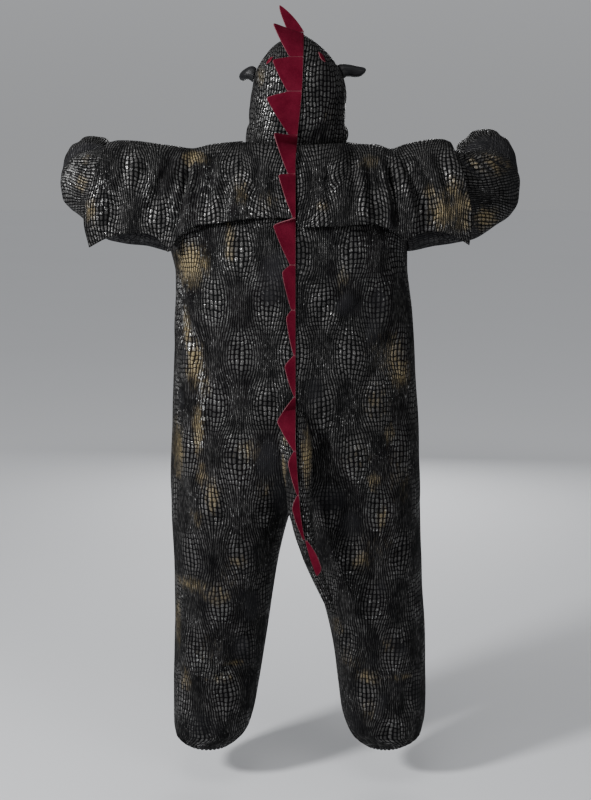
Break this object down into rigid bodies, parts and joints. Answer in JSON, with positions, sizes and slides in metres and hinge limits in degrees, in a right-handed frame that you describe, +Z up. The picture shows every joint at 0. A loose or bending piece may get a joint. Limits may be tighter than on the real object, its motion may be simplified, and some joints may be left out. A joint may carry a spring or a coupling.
{
  "type": "dragon onesie",
  "caption": "Hooded full-body costume in embossed black plush with scalloped wings, felt spines, horns and a stuffed tail, shaped as worn with arms out.",
  "frame": {"origin": "on the shoulder line at the middle of the neck, where the wearer's shoulders hold the garment up", "axes": "+Z up; the back of the garment faces -Y and the wearer faces +Y; +X is the wearer's right"},
  "size_m": [1.0869, 0.4789, 1.7555],
  "materials": {
    "scale_plush": "black plush embossed with foil-coated scales",
    "wing_plush": "black plush embossed with foil-coated scales, smooth navy-black back",
    "spine_felt": "matte crimson felt",
    "eye_felt": "matte red felt",
    "horn_leatherette": "smooth black satin leatherette",
    "placket_cloth": "plain black woven cloth",
    "button_plastic": "plain black plastic"
  },
  "bodies": {
    "root": {"back_left": "scale_plush", "back_right": "scale_plush", "front_left": "scale_plush", "front_right": "scale_plush", "leg_back_left": "scale_plush", "leg_back_right": "scale_plush", "leg_front_left": "scale_plush", "leg_front_right": "scale_plush", "sleeve_left": "scale_plush", "sleeve_right": "scale_plush", "hood_left": "scale_plush", "hood_right": "scale_plush", "tail_left": "scale_plush", "tail_right": "scale_plush", "wing_left": "wing_plush", "wing_right": "wing_plush", "spike_01": "spine_felt", "spike_02": "spine_felt", "spike_03": "spine_felt", "spike_04": "spine_felt", "spike_05": "spine_felt", "spike_06": "spine_felt", "spike_07": "spine_felt", "spike_08": "spine_felt", "spike_09": "spine_felt", "spike_10": "spine_felt", "spike_11": "spine_felt", "spike_12": "spine_felt", "spike_13": "spine_felt", "spike_14": "spine_felt", "eye_left": "eye_felt", "eye_right": "eye_felt", "horn_left": "horn_leatherette", "horn_right": "horn_leatherette", "placket": "placket_cloth", "button_1": "button_plastic", "button_2": "button_plastic", "button_3": "button_plastic", "button_4": "button_plastic", "button_5": "button_plastic"}
  },
  "joints": []
}
